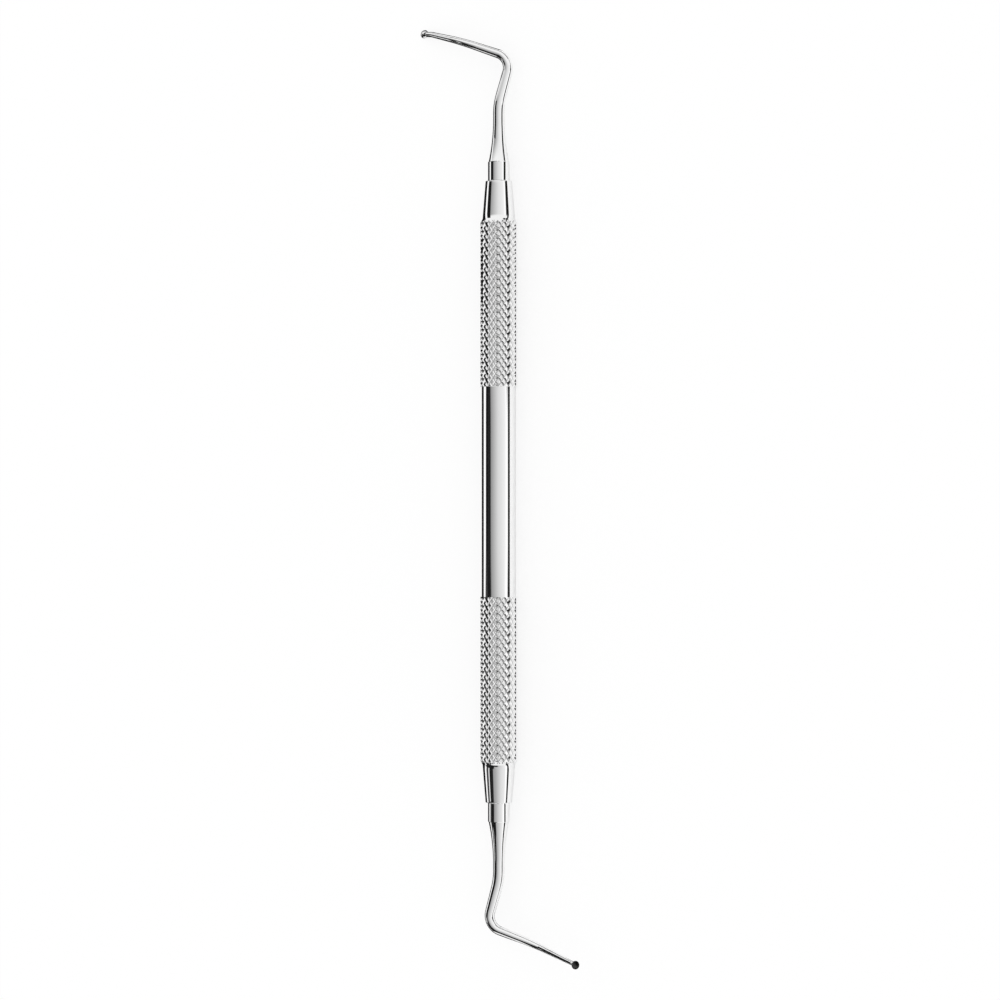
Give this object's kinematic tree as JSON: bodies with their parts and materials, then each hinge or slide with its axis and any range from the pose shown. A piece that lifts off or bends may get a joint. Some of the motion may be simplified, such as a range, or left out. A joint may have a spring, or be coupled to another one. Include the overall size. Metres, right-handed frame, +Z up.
{
  "type": "dental spoon excavator",
  "caption": "Double-ended hand instrument: round handle with diamond-knurled grips, and bent tapering shanks that end in small cupped spoons.",
  "frame": {"origin": "on the table, under the middle of the handle, which lies on its knurled grips and on one spoon's rim", "axes": "+Y along the handle towards the upper working end, +Z up from the table"},
  "size_m": [0.0334, 0.1656, 0.0064],
  "materials": {
    "handle_steel": "polished stainless steel, knurled on the grips",
    "working_end_steel": "polished hardened stainless steel"
  },
  "bodies": {
    "root": {"handle": "handle_steel", "upper_working_end": "working_end_steel", "lower_working_end": "working_end_steel"}
  },
  "joints": []
}
